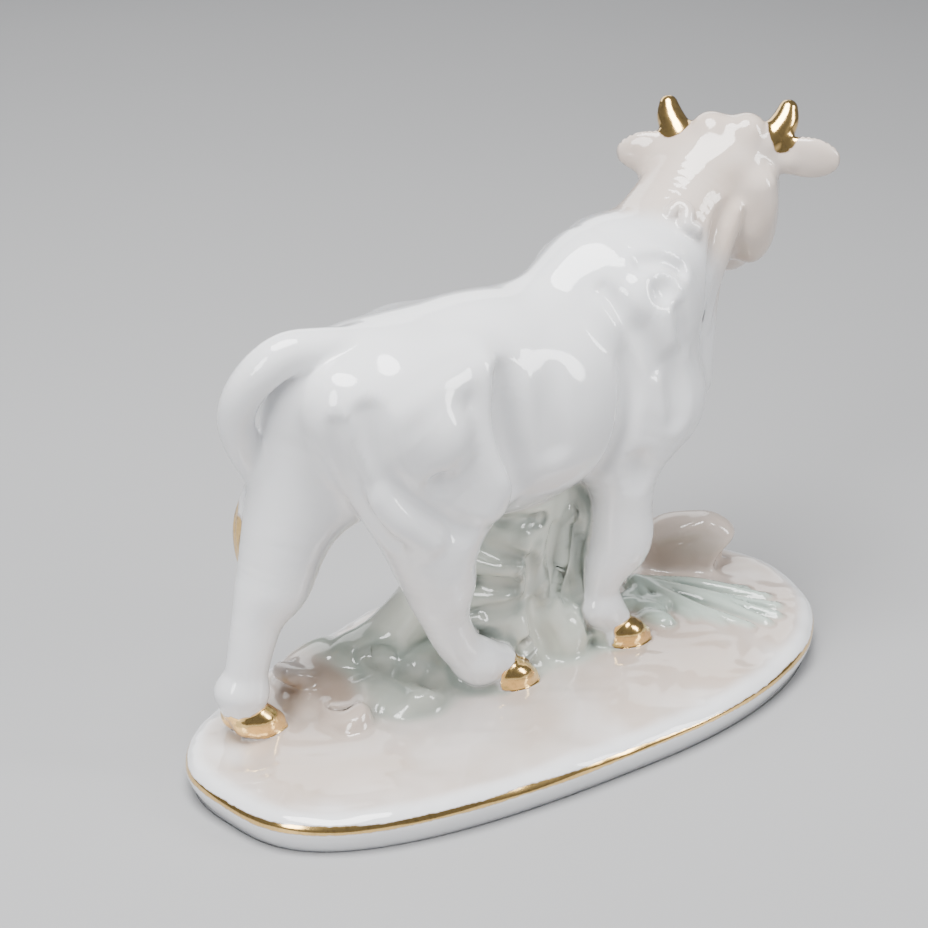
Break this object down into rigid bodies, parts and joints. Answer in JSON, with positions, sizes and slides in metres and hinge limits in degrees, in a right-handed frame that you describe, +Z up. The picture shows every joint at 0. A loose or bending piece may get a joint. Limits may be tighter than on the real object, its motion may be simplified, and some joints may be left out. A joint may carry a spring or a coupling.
{
  "type": "bull figurine",
  "caption": "Glazed porcelain bull looking back to its left, standing against a tree stump on a rocky oval plinth.",
  "frame": {"origin": "centre of the plinth's underside", "axes": "+Z up, +X the way the bull walks, along the plinth's length; the bull's right side is -Y"},
  "size_m": [0.196, 0.1048, 0.1465],
  "materials": {
    "porcelain": "white high-gloss glaze, soft pinkish beige and sage tints, bright gilding on horns, hooves, tail tuft and rim line"
  },
  "bodies": {
    "root": {"bull_figurine": "porcelain"}
  },
  "joints": []
}
